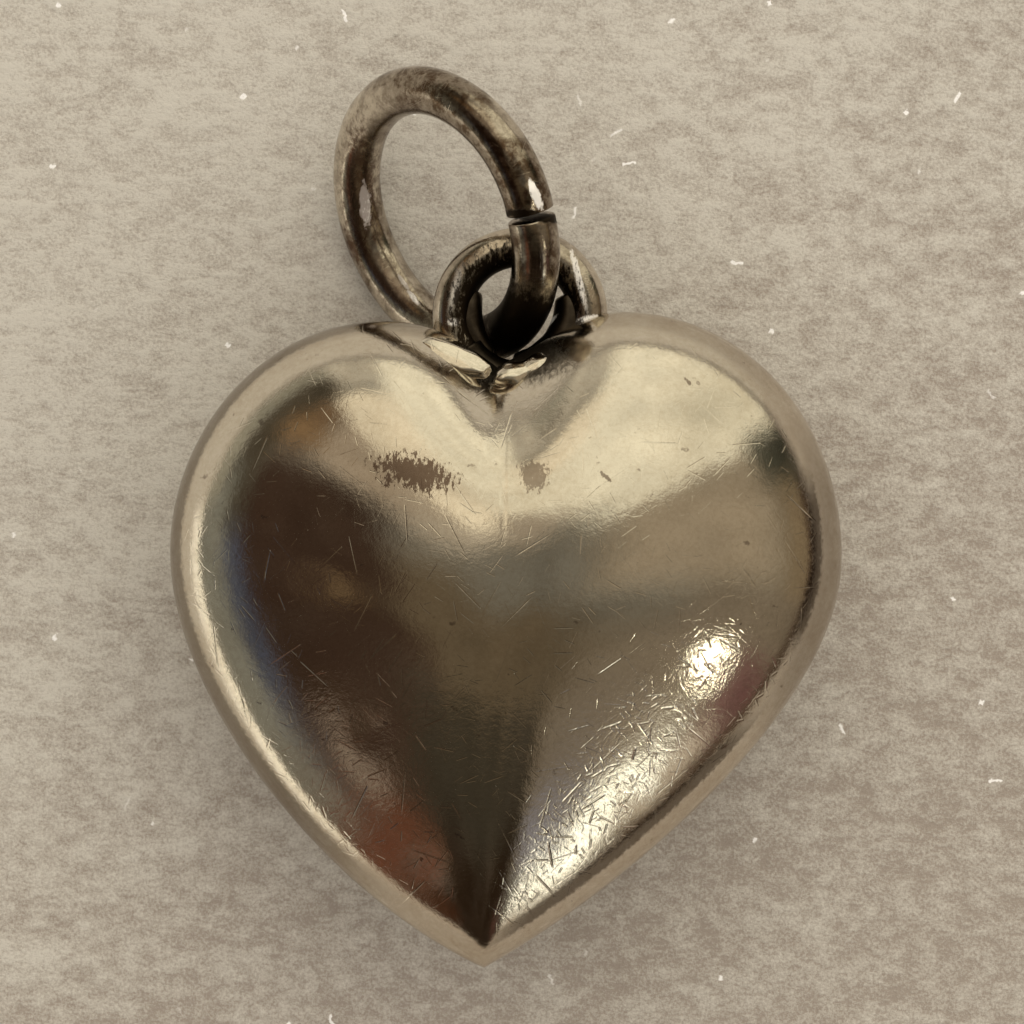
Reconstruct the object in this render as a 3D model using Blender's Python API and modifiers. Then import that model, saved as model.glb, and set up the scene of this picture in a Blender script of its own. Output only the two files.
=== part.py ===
"""Puffy heart pendant of silver.

Two domed shells are soldered rim to rim. A wire eye stands in the cleft and holds a loose jump ring.

The pendant lies on its back. +X is to its right, +Y towards the jump ring and +Z out of the front shell.
The origin is the centre of the eye's hole, in the plane where the two shells meet.
"""

import math

import bmesh
import bpy
import numpy as np
from mathutils import Matrix, Quaternion, Vector
from mathutils.geometry import interpolate_bezier

# Heart, all heights taken from the tip and all reaches from the line through tip and cleft.
HEART_WIDTH = 0.01606
HEART_HEIGHT = 0.01575
HEART_DEPTH = 0.0078
CLEFT_DEPTH = 0.00138
WIDEST_HEIGHT = 0.0099
TIP_SHIFT = 0.00031
LEFT_LOBE_DROP = 0.00035
RIGHT_LOBE_REACH = 0.00305
LEFT_LOBE_REACH = 0.0026
SHELL_WALL = 0.0004
RIM_LAND = 0.0002

# Fullness of the outline: how far it runs straight from each point before it turns.
CLEFT_RUN = 0.00115
LOBE_INNER_RUN = 0.001
LOBE_OUTER_RUN = 0.0031
RIGHT_SHOULDER_RUN = 0.00315
LEFT_SHOULDER_RUN = 0.00265
FLANK_RUN = 0.00365
RIGHT_TIP_RUN = 0.0034
LEFT_TIP_RUN = 0.004
RIGHT_CLEFT_RISE = math.radians(28)
LEFT_CLEFT_RISE = math.radians(37)
RIGHT_TIP_RISE = math.radians(30)
LEFT_TIP_RISE = math.radians(23)

# Puff of the two domes: the roll is the band inside the rim in which a dome turns halfway to level.
CROWN_HEIGHT = 0.0093
CROWN_RADIUS = 0.00575
ROLL_WIDTH = 0.00085
PUFF = 2.3
EASING = 0.42

# Seam.
SEAM_THICKNESS = 0.00008
SOLDER_CLEARANCE = 0.00003

# Jump ring, a butt-cut loop of round wire.
JUMP_WIRE = 0.00115
JUMP_RING_OUTSIDE = 0.00744
JUMP_RING_CUT = 0.00014
JUMP_RING_STEP = 0.00008
CUT_ANGLE = math.radians(53)
RING_SEAT = Vector((0.00005, -0.00002, 0))
SWING_AXIS = Vector((0.513, -0.620, -0.594)).normalized()
SWING_FROM_HANGING = math.radians(52.8)

# Eye, a wire arch standing in the cleft.
EYE_WIRE = 0.00095
EYE_PLAY = 0.00075
EYE_SHIFT = 0.000525
EYE_LIFT = 0.00011
EYE_FOOT_DIP = math.radians(42)

# Saddle of solder that runs on from foot to foot under the eye's hole.
SADDLE_THICKNESS = 0.0012
SADDLE_LAP = math.radians(9)

# Fineness of the meshes.
CURVE_STEPS = 60
SIDE_POINTS = 36
DOME_RINGS = 12
EYE_POINTS = 40
SADDLE_POINTS = 16
JUMP_RING_POINTS = 64
WIRE_SIDES = 4

# Places that follow from the sizes above.
SWING_AXIS_TILT = math.acos(abs((Quaternion(SWING_AXIS, -SWING_FROM_HANGING) @ Vector((0, 0, 1))).z))
EYE_HOLE = JUMP_WIRE / math.cos(SWING_AXIS_TILT) + EYE_PLAY
EYE_RADIUS = (EYE_HOLE + EYE_WIRE) / 2
CLEFT_HEIGHT = HEART_HEIGHT - CLEFT_DEPTH
TIP = Vector((-EYE_SHIFT, -EYE_HOLE / 2 - EYE_LIFT - CLEFT_HEIGHT))
RIM_LEVEL = SEAM_THICKNESS / 2 + SOLDER_CLEARANCE
DOME_HEIGHT = HEART_DEPTH / 2 - RIM_LEVEL - RIM_LAND

SILVER = (0.62, 0.57, 0.49, 1)
TARNISHED_SILVER = (0.36, 0.31, 0.26, 1)
SOLDER = (0.09, 0.08, 0.06, 1)


def new_collection(name):
    """A collection linked to the scene."""
    collection = bpy.data.collections.new(name)
    bpy.context.scene.collection.children.link(collection)
    return collection


def new_material(name, colour, roughness, metallic=1.0):
    """A Principled material of one colour."""
    material = bpy.data.materials.new(name)
    material.use_nodes = True
    shader = material.node_tree.nodes["Principled BSDF"]
    shader.inputs["Base Color"].default_value = colour
    shader.inputs["Roughness"].default_value = roughness
    shader.inputs["Metallic"].default_value = metallic
    return material


def new_object(name, mesh, collection, material=None):
    """An object for a mesh, shaded smooth."""
    piece = bpy.data.objects.new(name, mesh)
    collection.objects.link(piece)
    mesh.shade_smooth()
    mesh.set_sharp_from_angle(angle=math.radians(50))
    if material:
        mesh.materials.append(material)
    return piece


def cutter_object(name, mesh, collection):
    """An object that only cuts others."""
    piece = new_object(name, mesh, collection)
    piece.hide_render = True
    piece.display_type = "WIRE"
    return piece


def mesh_from(bm, name):
    """A mesh of the finished bmesh, its normals recalculated."""
    bmesh.ops.recalc_face_normals(bm, faces=bm.faces)
    mesh = bpy.data.meshes.new(name)
    bm.to_mesh(mesh)
    bm.free()
    return mesh


def cut(piece, cutter):
    """A Boolean that takes the cutter out of the piece."""
    modifier = piece.modifiers.new("cut_" + cutter.name, "BOOLEAN")
    modifier.operation = "DIFFERENCE"
    modifier.object = cutter


def solidify_inwards(piece, wall):
    """Give an open surface its wall, on the inner side."""
    modifier = piece.modifiers.new("wall", "SOLIDIFY")
    modifier.thickness = wall
    modifier.offset = -1
    modifier.use_even_offset = True


def wire_mesh(name, points, diameter):
    """A mesh of round wire along open points, its end caps welded on."""
    data = bpy.data.curves.new(name, "CURVE")
    data.dimensions = "3D"
    data.bevel_depth = diameter / 2
    data.bevel_resolution = WIRE_SIDES
    data.use_fill_caps = True
    spline = data.splines.new("POLY")
    spline.points.add(len(points) - 1)
    for place, point in zip(spline.points, points):
        place.co = (*point, 1)
    wire = bpy.data.objects.new(name, data)
    bpy.context.scene.collection.objects.link(wire)
    bpy.context.view_layer.update()
    evaluated = wire.evaluated_get(bpy.context.evaluated_depsgraph_get())
    bm = bmesh.new()
    bm.from_mesh(bpy.data.meshes.new_from_object(evaluated))
    bmesh.ops.remove_doubles(bm, verts=bm.verts, dist=diameter / 1000)
    bpy.data.objects.remove(wire)
    return mesh_from(bm, name)


def side_points(side):
    """One side of the heart's outline, evenly spaced from the cleft to just before the tip.

    Side is 1 for the right and -1 for the left.
    """
    right = side > 0
    lobe_reach = RIGHT_LOBE_REACH if right else LEFT_LOBE_REACH
    lobe_height = HEART_HEIGHT if right else HEART_HEIGHT - LEFT_LOBE_DROP
    shoulder_run = RIGHT_SHOULDER_RUN if right else LEFT_SHOULDER_RUN
    cleft_rise = RIGHT_CLEFT_RISE if right else LEFT_CLEFT_RISE
    tip_rise = RIGHT_TIP_RISE if right else LEFT_TIP_RISE
    tip_run = RIGHT_TIP_RUN if right else LEFT_TIP_RUN
    cleft = Vector((0, CLEFT_HEIGHT))
    lobe = Vector((lobe_reach, lobe_height))
    widest = Vector((HEART_WIDTH / 2 + side * TIP_SHIFT, WIDEST_HEIGHT))
    tip = Vector((0, 0))
    from_cleft = CLEFT_RUN * Vector((math.cos(cleft_rise), math.sin(cleft_rise)))
    to_tip = tip_run * Vector((math.cos(tip_rise), math.sin(tip_rise)))
    curves = (
        (cleft, from_cleft, Vector((-LOBE_INNER_RUN, 0)), lobe),
        (lobe, Vector((LOBE_OUTER_RUN, 0)), Vector((0, shoulder_run)), widest),
        (widest, Vector((0, -FLANK_RUN)), to_tip, tip),
    )
    points = []
    for start, leave, arrive, end in curves:
        points += interpolate_bezier(start, start + leave, end + arrive, end, CURVE_STEPS)
    lengths = np.cumsum([0.0] + [(b - a).length for a, b in zip(points, points[1:])])
    places = np.linspace(0, lengths[-1], SIDE_POINTS + 1)[:-1]
    across = np.interp(places, lengths, [side * point.x for point in points])
    along = np.interp(places, lengths, [point.y for point in points])
    return [TIP + Vector(place) for place in zip(across, along)]


def heart_outline():
    """The closed outline where the shells meet, anticlockwise from the cleft."""
    left = side_points(-1)
    right = side_points(1)
    return left + [TIP.copy()] + right[:0:-1]


def outward(outline, index):
    """The direction that points out of the outline at one of its points."""
    before = (outline[index] - outline[index - 1]).normalized()
    after = (outline[(index + 1) % len(outline)] - outline[index]).normalized()
    return Vector((before.y + after.y, -before.x - after.x)).normalized()


def eased(values, spacing, spread):
    """A closed run of values, smoothed over a spread along the outline."""
    waves = 2 * math.pi * np.fft.rfftfreq(len(values), spacing)
    return np.fft.irfft(np.fft.rfft(values) * np.exp(-((waves * spread) ** 2) / 2), len(values))


def dome_contours(outline):
    """The contours of a dome, from the rim in to the crown.

    Each has one point for each point of the outline. A dome leaves its rim upright and keeps an even
    distance to the outline there. Each contour is eased more the further in it lies, so that the crease of
    the cleft and the keel of the tip fade towards the round crown.
    """
    crown = TIP + Vector((TIP_SHIFT, CROWN_HEIGHT))
    spacing = sum((point - outline[i - 1]).length for i, point in enumerate(outline)) / len(outline)
    even_pace = DOME_HEIGHT**2 * PUFF / (4 * ROLL_WIDTH)
    ways = [(point - crown).normalized() for point in outline]
    reaches = [(point - crown).length for point in outline]
    paces = [even_pace / way.dot(outward(outline, i)) for i, way in enumerate(ways)]
    contours = []
    for ring in range(DOME_RINGS + 1):
        angle = ring / DOME_RINGS * math.pi / 2
        travel = 1 - math.cos(angle) ** (2 / PUFF)
        spread = EASING * travel * even_pace
        from_crown = (
            eased(reaches, spacing, spread) * (2 * travel**3 - 3 * travel**2 + 1)
            - eased(paces, spacing, spread + ROLL_WIDTH / 4) * (travel**3 - 2 * travel**2 + travel)
            - CROWN_RADIUS * (travel**3 - travel**2)
        )
        height = DOME_HEIGHT * math.sin(angle)
        contours.append([Vector((*(crown + way * far), height)) for far, way in zip(from_crown, ways)])
    return contours


def raise_ring(bm, edges, move):
    """Extrude a closed run of edges and move each new point by its number in the outline."""
    number = bm.verts.layers.int["number"]
    made = bmesh.ops.extrude_edge_only(bm, edges=edges)["geom"]
    for vert in made:
        if isinstance(vert, bmesh.types.BMVert):
            vert.co = move(vert[number])
    return [edge for edge in made if isinstance(edge, bmesh.types.BMEdge) and edge.is_boundary]


def rim_bmesh(outline, level):
    """A bmesh that holds only the outline at a level, each point numbered."""
    bm = bmesh.new()
    number = bm.verts.layers.int.new("number")
    rim = bmesh.ops.create_circle(bm, segments=len(outline), radius=HEART_WIDTH / 2)["verts"]
    for index, vert in enumerate(rim):
        vert[number] = index
        vert.co = (*outline[index], level)
    return bm


def add_dome(bm, edges, outline, level):
    """Raise a dome on a rim: a straight land, then rings that draw in to the crown."""
    lift = Vector((0, 0, level + RIM_LAND))
    for contour in dome_contours(outline):
        edges = raise_ring(bm, edges, lambda i, contour=contour: contour[i] + lift)
    top = list({vert for edge in edges for vert in edge.verts})
    bmesh.ops.remove_doubles(bm, verts=top, dist=SHELL_WALL / 100)


def shell(name, outline, collection, material):
    """One domed half of the heart, open at the rim."""
    bm = rim_bmesh(outline, RIM_LEVEL)
    add_dome(bm, bm.edges[:], outline, RIM_LEVEL)
    piece = new_object(name, mesh_from(bm, name), collection, material)
    solidify_inwards(piece, SHELL_WALL)
    return piece


def outline_grown(outline, distance):
    """The outline moved outwards by a distance, mitred at its corners."""
    grown = []
    for index, point in enumerate(outline):
        side = (point - outline[index - 1]).normalized()
        way = outward(outline, index)
        grown.append(point + way * distance / way.dot(Vector((side.y, -side.x))))
    return grown


def heart_clearance(outline, collection):
    """A closed heart a clearance larger than the two shells, to cut what stands in the cleft."""
    grown = outline_grown(outline, SOLDER_CLEARANCE)
    bm = rim_bmesh(grown, 0)
    rim = bm.edges[:]
    add_dome(bm, rim, grown, RIM_LEVEL + SOLDER_CLEARANCE)
    mirrored = bm.copy()
    bmesh.ops.scale(mirrored, vec=(1, 1, -1), verts=mirrored.verts)
    mesh = bpy.data.meshes.new("mirrored_half")
    mirrored.to_mesh(mesh)
    mirrored.free()
    bm.from_mesh(mesh)
    bpy.data.meshes.remove(mesh)
    bmesh.ops.remove_doubles(bm, verts=bm.verts, dist=SOLDER_CLEARANCE / 10)
    return cutter_object("heart_clearance", mesh_from(bm, "heart_clearance"), collection)


def seam_band(outline, collection, material):
    """The line of solder between the two rims, as wide as the shells' walls."""
    bm = rim_bmesh(outline, -SEAM_THICKNESS / 2)
    raise_ring(bm, bm.edges[:], lambda i: Vector((*outline[i], SEAM_THICKNESS / 2)))
    piece = new_object("seam_solder", mesh_from(bm, "seam_solder"), collection, material)
    solidify_inwards(piece, SHELL_WALL)
    return piece


def arc_points(radius, start, end, count, lift=0.0):
    """Points along an arc round the origin in the XY plane, climbing by a lift from start to end."""
    points = []
    for index in range(count):
        share = index / (count - 1)
        angle = start + (end - start) * share
        points.append(Vector((radius * math.cos(angle), radius * math.sin(angle), lift * (share - 0.5))))
    return points


def eye_arc(margin):
    """The centre line of the eye's arch, run on past both feet by a margin."""
    spare = margin / EYE_RADIUS
    return arc_points(EYE_RADIUS, -EYE_FOOT_DIP - spare, math.pi + EYE_FOOT_DIP + spare, EYE_POINTS)


def hanging_eye(clearance, collection, material):
    """The wire arch, its feet cut to the slopes of the cleft."""
    piece = new_object("hanging_eye", wire_mesh("hanging_eye", eye_arc(0), EYE_WIRE), collection, material)
    cut(piece, clearance)
    return piece


def eye_solder(clearance, collection, cutters, material):
    """The saddle of solder that fills the cleft under the hole and laps a little up both feet."""
    start = math.pi + EYE_FOOT_DIP - SADDLE_LAP
    end = 2 * math.pi - EYE_FOOT_DIP + SADDLE_LAP
    mesh = wire_mesh("eye_solder", arc_points(EYE_RADIUS, start, end, SADDLE_POINTS), SADDLE_THICKNESS)
    piece = new_object("eye_solder", mesh, collection, material)
    arch_mesh = wire_mesh("eye_clearance", eye_arc(SOLDER_CLEARANCE), EYE_WIRE + 2 * SOLDER_CLEARANCE)
    cut(piece, clearance)
    cut(piece, cutter_object("eye_clearance", arch_mesh, cutters))
    return piece


def jump_ring(collection, material):
    """The loop of wire, its origin at the middle of the eye's hole and its ends a saw cut apart."""
    radius = (JUMP_RING_OUTSIDE - JUMP_WIRE) / 2
    half_cut = JUMP_RING_CUT / 2 / radius
    start = CUT_ANGLE + half_cut
    end = CUT_ANGLE + 2 * math.pi - half_cut
    points = arc_points(radius, start, end, JUMP_RING_POINTS, JUMP_RING_STEP)
    mesh = wire_mesh("jump_ring", points, JUMP_WIRE)
    # Hanging: the wire passes through the hole along Z and the ring's middle lies above the eye.
    hanging = Matrix(((0, 0, -1), (-1, 0, 0), (0, 1, 0))).to_4x4()
    mesh.transform(Matrix.Translation(RING_SEAT) @ hanging @ Matrix.Translation((-radius, 0, 0)))
    piece = new_object("jump_ring", mesh, collection, material)
    piece.rotation_mode = "QUATERNION"
    piece.rotation_quaternion = Quaternion(SWING_AXIS, -SWING_FROM_HANGING)
    return piece


def main():
    """Clear the scene and build the pendant."""
    for old in list(bpy.data.objects):
        bpy.data.objects.remove(old)
    parts = new_collection("puffy_heart_pendant")
    cutters = new_collection("cutters")
    outline = heart_outline()
    silver = new_material("worn_silver", SILVER, 0.22)

    shell("front_shell", outline, parts, silver)
    back = shell("back_shell", outline, parts, new_material("worn_silver_back", SILVER, 0.25))
    back.data.transform(Matrix.Scale(-1, 4, Vector((0, 0, 1))))
    back.data.flip_normals()
    seam_band(outline, parts, new_material("seam_silver", SILVER, 0.3))
    clearance = heart_clearance(outline, cutters)
    hanging_eye(clearance, parts, new_material("eye_silver", TARNISHED_SILVER, 0.25))
    eye_solder(clearance, parts, cutters, new_material("dark_solder", SOLDER, 0.55))
    jump_ring(parts, new_material("ring_silver", TARNISHED_SILVER, 0.22))


main()
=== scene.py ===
"""Puffy heart pendant of worn silver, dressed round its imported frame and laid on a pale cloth.

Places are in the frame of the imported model: +X to the heart's right, +Y from the tip through the cleft towards the
jump ring, +Z out of the front shell. The origin is the centre of the eye's hole. A length written with MM is in
metres. One without it is in millimetres, apart from the studio's.
"""

from __future__ import annotations

import logging
import math
from collections.abc import Callable, Sequence
from dataclasses import dataclass, field, replace
from enum import Enum
from typing import Any

import bmesh
import bpy
import numpy as np
from mathutils import Matrix, Quaternion, Vector, noise
from mathutils.geometry import interpolate_bezier


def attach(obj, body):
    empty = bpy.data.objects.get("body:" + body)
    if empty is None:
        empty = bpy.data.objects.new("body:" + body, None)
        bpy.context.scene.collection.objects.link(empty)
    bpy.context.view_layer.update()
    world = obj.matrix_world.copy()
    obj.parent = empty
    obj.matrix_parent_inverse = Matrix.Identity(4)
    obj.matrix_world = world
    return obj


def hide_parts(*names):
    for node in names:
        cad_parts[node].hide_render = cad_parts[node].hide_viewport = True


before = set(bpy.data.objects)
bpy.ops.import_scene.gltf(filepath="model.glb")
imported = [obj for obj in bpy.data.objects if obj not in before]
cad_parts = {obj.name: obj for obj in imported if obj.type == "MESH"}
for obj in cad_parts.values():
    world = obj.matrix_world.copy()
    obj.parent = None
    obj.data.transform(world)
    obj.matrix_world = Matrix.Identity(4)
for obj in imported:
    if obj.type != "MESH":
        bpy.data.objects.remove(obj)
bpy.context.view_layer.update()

log = logging.getLogger("pendant")
MM = 0.001
DEGREES = 180 / math.pi

Colour = tuple[float, float, float]
Triple = tuple[float, float, float]

GRIME = (0.07, 0.048, 0.035)
FIBRE = (0.97, 0.95, 0.92)
DUST = (0.16, 0.13, 0.10)
# The colour of the pool of light painted on the cloth beyond the pendant
PAINTED_LIGHT_POOL = (0.98, 0.96, 0.88)

# Noise: waves to a millimetre, or to a unit of direction in the world, octaves, and the strength of the finer ones
CLOUDS = (0.45, 3.0, 0.55)
MOTTLE = (2.6, 5.0, 0.65)
FRAY = (6.0, 4.0, 0.75)
FINE = (9.0, 3.0, 0.7)
SPECKS = (2.3, 3.0, 0.6)
DAPPLE = (0.55, 3.0, 0.55)
FELT = (2.4, 5.0, 0.68)
NAP = (13.0, 3.0, 0.8)
RIDGES = (0.9, 4.0, 0.6)
BENDS = (7.0, 2.0, 0.5)
ROOM = (4.5, 5.0, 0.68)
BLOTCHES = (7.0, 4.0, 0.7)

# What a vector is multiplied by to keep its X and Y alone
FLAT = (1.0, 1.0, 0.0)


class Body(Enum):
    """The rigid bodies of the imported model."""

    HEART = "heart"
    RING = "loose_ring"


class Slot(Enum):
    """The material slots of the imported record."""

    SHELL = "shell_silver"
    SEAM = "seam_silver"
    EYE = "eye_silver"
    SOLDER = "dark_solder"
    RING = "ring_silver"


# Shader maths


@dataclass
class Value:
    """A number or vector on a shader socket, whose operators add Math or Vector Math nodes."""

    tree: "Tree"
    socket: Any

    def _math(self, operation: str, *operands: Any, output: int = 0) -> "Value":
        """Add a Math node, or a Vector Math node where this is a vector.

        Args:
            operation: the node's operation.
            operands: its inputs, in order.
            output: the number of its output.

        Returns:
            The node's result.
        """
        kind = "Math" if self.socket.type == "VALUE" else "VectorMath"
        node = self.tree.add(kind, {"operation": operation}, dict(enumerate(operands)))
        return Value(self.tree, node.outputs[output])

    def __add__(self, other: Any) -> "Value":
        """The sum."""
        return self._math("ADD", self, other)

    __radd__ = __add__

    def __sub__(self, other: Any) -> "Value":
        """The difference."""
        return self._math("SUBTRACT", self, other)

    def __rsub__(self, other: Any) -> "Value":
        """The difference from a number."""
        return self._math("SUBTRACT", other, self)

    def __mul__(self, other: Any) -> "Value":
        """The product, part by part for a vector."""
        return self._math("MULTIPLY", self, other)

    __rmul__ = __mul__

    def top(self, other: "Value | float") -> "Value":
        """The larger of the two."""
        return self._math("MAXIMUM", self, other)

    def distance(self) -> "Value":
        """The number without its sign."""
        return self._math("ABSOLUTE", self)

    def angle(self) -> "Value":
        """The angle that has this cosine, in degrees."""
        return self._math("ARCCOSINE", self) * DEGREES

    def step(self, low: float, high: float) -> "Value":
        """A smooth step.

        Args:
            low: where the step is 0.
            high: where the step is 1; it may lie below low.

        Returns:
            The step, between 0 and 1.
        """
        if low < high:
            ends = {1: low, 2: high, 3: 0.0, 4: 1.0}
        else:
            ends = {1: high, 2: low, 3: 1.0, 4: 0.0}
        settings = {"interpolation_type": "SMOOTHSTEP"}
        node = self.tree.add("MapRange", settings, {0: self, **ends})
        return Value(self.tree, node.outputs[0])

    def unit(self) -> "Value":
        """The vector at length 1."""
        return self._math("NORMALIZE", self)

    def cross(self, other: "Value") -> "Value":
        """The cross product."""
        return self._math("CROSS_PRODUCT", self, other)

    def dot(self, other: Any) -> "Value":
        """The dot product."""
        return self._math("DOT_PRODUCT", self, other, output=1)

    def length(self) -> "Value":
        """The vector's length."""
        return self._math("LENGTH", self, output=1)

    def part(self, axis: int) -> "Value":
        """The vector's part along X, Y or Z, numbered from 0."""
        node = self.tree.add("SeparateXYZ", {}, {0: self})
        return Value(self.tree, node.outputs[axis])


@dataclass
class Tree:
    """A node tree in the making."""

    nodes: Any
    links: Any

    def add(self, kind: str, settings: dict[str, Any], sockets: dict[Any, Any]) -> Any:
        """Add a node.

        Args:
            kind: the node's type, after its prefix.
            settings: its properties, set before its sockets.
            sockets: the values or links of its inputs, by name or number.

        Returns:
            The node.
        """
        node = self.nodes.new("ShaderNode" + kind)
        for name, value in settings.items():
            setattr(node, name, value)
        self.feed(node, sockets)
        return node

    def feed(self, node: Any, sockets: dict[Any, Any]) -> None:
        """Set or link a node's inputs.

        Args:
            node: the node.
            sockets: the values or links, by the input's name or number.
        """
        for key, value in sockets.items():
            source = getattr(value, "socket", value)
            if isinstance(source, bpy.types.NodeSocket):
                self.links.new(source, node.inputs[key])
            else:
                node.inputs[key].default_value = source

    def millimetres(self) -> Value:
        """The point on the piece, in millimetres of its own frame."""
        place = self.add("TexCoord", {}, {})
        return Value(self, place.outputs["Object"]) * (1 / MM, 1 / MM, 1 / MM)

    def noise(self, place: Value, pattern: Triple) -> Value:
        """A noise texture.

        Args:
            place: where it is read.
            pattern: its waves per unit of place, its octaves and the strength of the finer ones.

        Returns:
            The noise, about 0.5 on average.
        """
        scale, detail, roughness = pattern
        node = self.add(
            "TexNoise",
            {"noise_dimensions": "3D"},
            {"Vector": place, "Scale": scale, "Detail": detail, "Roughness": roughness},
        )
        return Value(self, node.outputs["Fac"])

    def blend(self, factor: Value, first: Value | Colour, second: Value | Colour) -> Value:
        """A mix of two colours.

        Args:
            factor: the share of the second.
            first: the first colour.
            second: the second colour.

        Returns:
            The mixed colour.
        """
        first, second = ((*colour, 1.0) if isinstance(colour, tuple) else colour for colour in (first, second))
        node = self.add("Mix", {"data_type": "RGBA"}, {0: factor, 6: first, 7: second})
        return Value(self, node.outputs[2])

    def bump(self, height: Value, strength: float) -> Any:
        """A bump of a height in millimetres, as a normal for a shader."""
        node = self.add("Bump", {}, {"Height": height, "Distance": MM, "Strength": strength})
        return node.outputs[0]


def new_material(name: str) -> tuple[Any, Tree, Any]:
    """Start a material.

    Args:
        name: the material's name.

    Returns:
        The material, its tree and its Principled shader.
    """
    material = bpy.data.materials.new(name)
    material.use_nodes = True
    tree = Tree(material.node_tree.nodes, material.node_tree.links)
    return material, tree, material.node_tree.nodes["Principled BSDF"]


# Finishes


@dataclass(frozen=True)
class Overlay:
    """A colour laid over the metal and how much rougher than the metal it is: for stains, painted shade with
    tarnish, and painted glints.
    """

    colour: Colour
    roughness: float


# Painted glint: a near-white matte colour that stands in for a highlight on the metal
PAINTED_GLINT = Overlay((0.98, 0.95, 0.88), 0.25)
STAIN = Overlay((0.105, 0.055, 0.035), 0.2)
# Painted shade with tarnish in hollows: near black and rougher, partly the patina there and partly shade painted in
HOLLOW_SHADE_AND_TARNISH = Overlay((0.035, 0.026, 0.018), 0.35)


@dataclass(frozen=True)
class Spot:
    """A rounded place on the metal: its middle and half-lengths in millimetres and its turn about Z in degrees."""

    middle: Triple
    reach: Triple
    turn: float = 0.0
    edge: float = 0.3
    strength: float = 1.0

    def mask(self, place: Value, ragged: Value | float = 0.0) -> Value:
        """The mask of the place.

        Args:
            place: the point on the piece, in millimetres.
            ragged: what shifts its edge in and out.

        Returns:
            Its strength inside the spot and 0 outside.
        """
        spun = place.tree.add(
            "VectorRotate",
            {"rotation_type": "Z_AXIS"},
            {"Vector": place - self.middle, "Angle": -math.radians(self.turn)},
        )
        away = (Value(place.tree, spun.outputs[0]) * tuple(1 / part for part in self.reach)).length()
        return (away + ragged).step(1 + self.edge, 1 - self.edge) * self.strength


def any_of(spots: tuple[Spot, ...], place: Value, ragged: Value | float) -> Value | None:
    """The mask of several spots together.

    Args:
        spots: the spots.
        place: the point on the piece, in millimetres.
        ragged: what shifts their edges.

    Returns:
        The strongest of their masks, or nothing where there are no spots.
    """
    mask = None
    for spot in spots:
        one = spot.mask(place, ragged)
        mask = one if mask is None else mask.top(one)
    return mask


@dataclass(frozen=True)
class GrimeBand:
    """Grime that lies along the rim between two levels, in millimetres, within a place."""

    spot: Spot
    low: float
    high: float
    fade: float
    strength: float

    def mask(self, place: Value, ragged: Value) -> Value:
        """The mask of the band.

        Args:
            place: the point on the piece, in millimetres.
            ragged: what shifts its edges up and down.

        Returns:
            The band's strength inside it and 0 outside.
        """
        level = place.part(2).distance() + ragged * self.fade
        above = level.step(self.low - self.fade, self.low + self.fade)
        below = level.step(self.high + self.fade, self.high - self.fade)
        return above * below * self.spot.mask(place) * self.strength


@dataclass(frozen=True)
class ScratchLayer:
    """A field of short straight scratches that lie every way, in millimetres."""

    per_mm: float
    length: float
    width: float
    share: float
    depth: float
    seed: float
    taper: float = 0.6
    deepest: float = 1.15

    def grooves(self, place: Value) -> Value:
        """The depth of the field's grooves, laid out flat in X and Y.

        Args:
            place: the point on the piece, in millimetres.

        Returns:
            1 at the bottom of the deepest scratches and 0 between them.
        """
        tree = place.tree
        shifted = (place + (self.seed, -self.seed, 0.0)) * FLAT
        settings = {"voronoi_dimensions": "2D", "feature": "F1"}
        cells = tree.add("TexVoronoi", settings, {"Vector": shifted, "Scale": self.per_mm})
        chance = Value(tree, cells.outputs["Color"])
        from_middle = shifted - Value(tree, cells.outputs["Position"])
        way = ((chance - (0.5, 0.5, 0.5)) * FLAT).unit()
        aside = from_middle.cross(way).length()
        along = from_middle.dot(way).distance()
        line = aside.step(self.width, 0.0) * along.step(self.length, self.length * self.taper)
        return line * chance.part(2).step(1 - self.share, self.deepest)


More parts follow.
